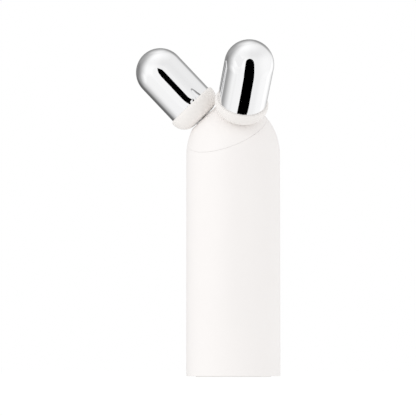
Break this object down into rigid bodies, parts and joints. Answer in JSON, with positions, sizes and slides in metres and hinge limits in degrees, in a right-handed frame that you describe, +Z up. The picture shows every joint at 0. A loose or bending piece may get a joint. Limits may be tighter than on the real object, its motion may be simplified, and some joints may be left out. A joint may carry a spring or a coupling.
{
  "type": "facial toning device",
  "caption": "Upright round handle with a domed, forward-tilted head carrying chromed free-turning capsule rollers in a V, with press buttons on its back.",
  "frame": {"origin": "centre of the foot, on the surface that the device stands on", "axes": "+Z up the handle's axis; -Y is the front, towards which the head and rollers tilt; the object mirrors about X = 0"},
  "size_m": [0.0704, 0.054, 0.147],
  "materials": {
    "shell_white": "satin-matt moulded off-white",
    "cup_white": "satin-matt moulded off-white",
    "roller_chrome": "mirror-polished plating",
    "axle_steel": "ground stainless steel",
    "fastener_steel": "zinc-plated",
    "bracket_metal": "die-cast, shot-blasted",
    "contact_brass": "plated brass",
    "bush_polymer": "self-lubricating polymer",
    "seal_rubber": "soft silicone rubber",
    "gasket_rubber": "soft silicone rubber, warm grey",
    "foot_rubber": "fine-textured silicone rubber",
    "chassis_plastic": "glass-filled moulding, dark grey",
    "cell_sleeve": "shrink sleeve",
    "pad_foam": "closed-cell foam",
    "board_green": "solder mask",
    "chip_black": "moulded epoxy",
    "coil_copper": "enamelled wire on a ferrite core",
    "capacitor_sleeve": "sleeved can",
    "light_white": "moulded lamp body",
    "guide_clear": "frosted clear polymer",
    "lead_red": "wire insulation",
    "button_white": "satin-matt moulded off-white",
    "socket_steel": "drawn steel shell",
    "flex_amber": "flexible circuit film"
  },
  "bodies": {
    "body": {"handle_shell": "shell_white", "head_cap": "shell_white", "head_gasket": "gasket_rubber", "axle_bracket": "bracket_metal", "head_screws": "fastener_steel", "left_axle": "axle_steel", "right_axle": "axle_steel", "axle_seals": "seal_rubber", "axle_nuts": "fastener_steel", "lead_terminals": "contact_brass", "axle_clips": "fastener_steel", "contact_pins": "contact_brass", "chassis": "chassis_plastic", "cell": "cell_sleeve", "cell_tabs": "axle_steel", "cell_pad": "pad_foam", "main_board": "board_green", "board_screws": "fastener_steel", "control_chip": "chip_black", "charger_chip": "chip_black", "boost_coil": "coil_copper", "capacitors": "capacitor_sleeve", "status_lights": "light_white", "light_guide": "guide_clear", "switch_bodies": "chip_black", "electrode_leads": "lead_red", "base_cap": "shell_white", "base_seal": "seal_rubber", "base_screws": "fastener_steel", "foot_ring": "foot_rubber", "charge_board": "board_green", "charge_socket": "socket_steel", "charge_lead": "flex_amber"},
    "left_roller": {"left_roller_cup": "cup_white", "left_roller_cap": "roller_chrome", "left_roller_bushes": "bush_polymer"},
    "right_roller": {"right_roller_cup": "cup_white", "right_roller_cap": "roller_chrome", "right_roller_bushes": "bush_polymer"},
    "power_key": {"power_button": "button_white", "power_button_seal": "seal_rubber", "power_plunger": "chip_black"},
    "mode_key": {"mode_button": "button_white", "mode_button_seal": "seal_rubber", "mode_plunger": "chip_black"}
  },
  "joints": [
    {"name": "left_roller_spin", "type": "hinge", "parent": "body", "child": "left_roller", "pos_m": [0, -0.0004, 0.102], "axis": [-0.515, -0.4606, 0.7229], "continuous": true},
    {"name": "right_roller_spin", "type": "hinge", "parent": "body", "child": "right_roller", "pos_m": [0, -0.0004, 0.102], "axis": [0.515, -0.4606, 0.7229], "continuous": true},
    {"name": "power_button_press", "type": "slide", "parent": "body", "child": "power_key", "axis": [0, -1, 0], "range_m": [0, 0.0005], "stiffness_N_per_m": 2400, "springref_m": -0.0002},
    {"name": "mode_button_press", "type": "slide", "parent": "body", "child": "mode_key", "axis": [0, -1, 0], "range_m": [0, 0.0005], "stiffness_N_per_m": 2400, "springref_m": -0.0002}
  ]
}
